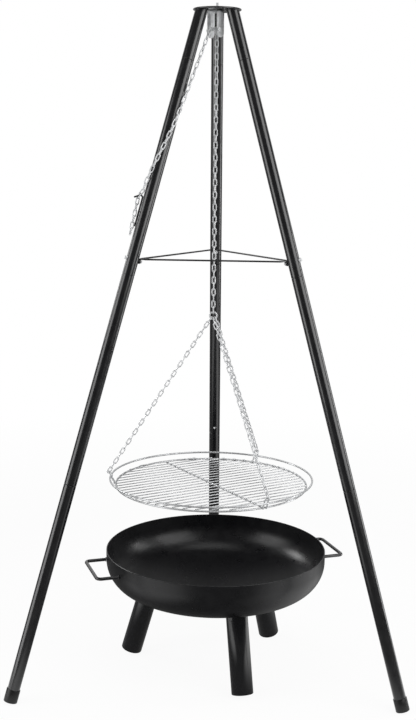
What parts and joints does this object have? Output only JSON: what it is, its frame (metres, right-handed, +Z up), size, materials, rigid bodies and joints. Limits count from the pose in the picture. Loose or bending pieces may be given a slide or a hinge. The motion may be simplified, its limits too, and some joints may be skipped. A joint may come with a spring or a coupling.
{
  "type": "campfire tripod grate",
  "caption": "Black steel tripod with plug-in tube legs, a round wire grate hung on a chain from its head, and a dished fire bowl on splayed tube legs below.",
  "frame": {"origin": "on the floor, in the middle of the box round the tripod and the bowl; the tripod's own axis is 0.145 m in front of it", "axes": "+Z up, +Y from the two front legs to the back leg, +X to the right seen from the front"},
  "size_m": [1.0408, 0.9059, 1.7773],
  "materials": {
    "black_paint": "satin black paint",
    "black_cap": "black plastic foot cap",
    "bright_zinc": "bright zinc plating",
    "chrome_wire": "bright chromed wire"
  },
  "bodies": {
    "tripod": {"bowl_handle_left": "black_paint", "bowl_handle_right": "black_paint", "bowl_leg_back": "black_paint", "bowl_leg_front": "black_paint", "bowl_leg_left": "black_paint", "bracket_bolt": "bright_zinc", "bracket_nut": "bright_zinc", "chain_bracket": "bright_zinc", "chain_pin": "bright_zinc", "chain_pin_nut": "bright_zinc", "chain_to_leg": "bright_zinc", "fire_bowl": "black_paint", "foot_cap_back": "black_cap", "foot_cap_left": "black_cap", "foot_cap_right": "black_cap", "head_plate": "black_paint", "head_stub_back": "black_paint", "head_stub_left": "black_paint", "head_stub_right": "black_paint", "leg_hook": "black_paint", "leg_lower_tube_back": "black_paint", "leg_lower_tube_left": "black_paint", "leg_lower_tube_right": "black_paint", "leg_middle_tube_back": "black_paint", "leg_middle_tube_left": "black_paint", "leg_middle_tube_right": "black_paint", "leg_upper_tube_back": "black_paint", "leg_upper_tube_left": "black_paint", "leg_upper_tube_right": "black_paint", "snap_button_lower_back": "bright_zinc", "snap_button_lower_left": "bright_zinc", "snap_button_lower_right": "bright_zinc", "snap_button_upper_back": "bright_zinc", "snap_button_upper_left": "bright_zinc", "snap_button_upper_right": "bright_zinc", "spacer_bolt_back": "bright_zinc", "spacer_bolt_left": "bright_zinc", "spacer_bolt_right": "bright_zinc", "spacer_nut_back": "bright_zinc", "spacer_nut_left": "bright_zinc", "spacer_nut_right": "bright_zinc", "spacer_rod_back_left": "black_paint", "spacer_rod_left_right": "black_paint", "spacer_rod_right_back": "black_paint"},
    "swing_link": {"chain_swing_link": "bright_zinc"},
    "hanging_chain": {"hanging_chain_upper": "bright_zinc"},
    "lift": {"hanging_chain_lower": "bright_zinc"},
    "grate": {"grate_chain_back": "bright_zinc", "grate_chain_front": "bright_zinc", "grate_chain_left": "bright_zinc", "grate_grid": "chrome_wire", "grate_hanger_back": "chrome_wire", "grate_hanger_front": "chrome_wire", "grate_hanger_left": "chrome_wire", "grate_rim": "chrome_wire", "joining_ring": "bright_zinc"},
    "tail": {"chain_tail": "bright_zinc"}
  },
  "joints": [
    {"name": "side_swing", "type": "hinge", "parent": "tripod", "child": "swing_link", "pos_m": [0, -0.1448, 1.71371], "axis": [0.6293, -0.7771, 0], "range_deg": [-3, 3]},
    {"name": "front_swing", "type": "hinge", "parent": "swing_link", "child": "hanging_chain", "pos_m": [0, -0.1448, 1.7003], "axis": [-0.7771, -0.6293, 0], "range_deg": [-3, 3]},
    {"name": "grate_height", "type": "slide", "parent": "hanging_chain", "child": "lift", "axis": [0, 0, 1], "range_m": [0, 0.12], "deforming": ["hanging_chain_upper"]},
    {"name": "grate_swivel", "type": "hinge", "parent": "lift", "child": "grate", "pos_m": [0, -0.1448, 0.97375], "axis": [0, 0, 1], "range_deg": [-180, 180], "deforming": ["hanging_chain_lower"]},
    {"name": "tail_swing", "type": "hinge", "parent": "tripod", "child": "tail", "pos_m": [-0.1975, -0.23477, 1.26816], "axis": [0.8609, 0.4111, -0.2999], "range_deg": [-30, 30]}
  ]
}
